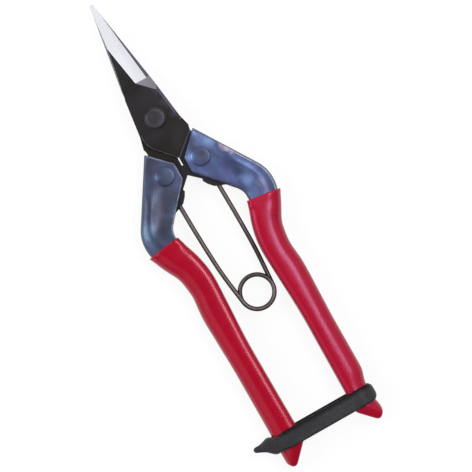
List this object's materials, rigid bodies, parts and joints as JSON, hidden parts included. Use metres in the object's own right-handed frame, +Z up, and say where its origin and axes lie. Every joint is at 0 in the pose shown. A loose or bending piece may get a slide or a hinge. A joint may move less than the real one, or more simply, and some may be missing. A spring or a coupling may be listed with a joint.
{
  "type": "pruning shears",
  "caption": "Pruning shears with slim pointed blades crossed on a rivet, blued sheet-metal handles in red dipped grips, a looped wire spring and a rubber closing strap.",
  "frame": {"origin": "middle of the underside of the closed shears as they lie flat", "axes": "+X to the right handle, +Y along the blades to their tips, +Z up, square to the blades"},
  "size_m": [0.0584, 0.19, 0.0141],
  "materials": {
    "blade_steel": "blackened, ground bright on the bevels",
    "rivet_steel": "dark satin",
    "blued_steel": "heat blued, semi gloss",
    "red_vinyl": "glossy dip coating",
    "spring_steel": "oil tempered",
    "black_rubber": "satin"
  },
  "bodies": {
    "left_half": {"rear_blade": "blade_steel", "left_handle": "blued_steel", "left_tang_rivet": "blued_steel", "left_grip": "red_vinyl", "pivot_rivet": "rivet_steel", "pivot_washer": "rivet_steel", "return_spring": "spring_steel"},
    "right_half": {"front_blade": "blade_steel", "right_handle": "blued_steel", "right_tang_rivet": "blued_steel", "right_grip": "red_vinyl"},
    "strap": {"closing_strap": "black_rubber"}
  },
  "joints": [
    {"name": "blade_pivot", "type": "hinge", "parent": "left_half", "child": "right_half", "pos_m": [0.00102, 0.04548, 0.00705], "axis": [0, 0, 1], "range_deg": [0, 25], "deforming": ["return_spring"]},
    {"name": "strap_swing", "type": "hinge", "parent": "right_half", "child": "strap", "pos_m": [0.01807, -0.07802, 0.00705], "axis": [0, 0, 1], "range_deg": [0, 30], "deforming": ["closing_strap"]}
  ]
}
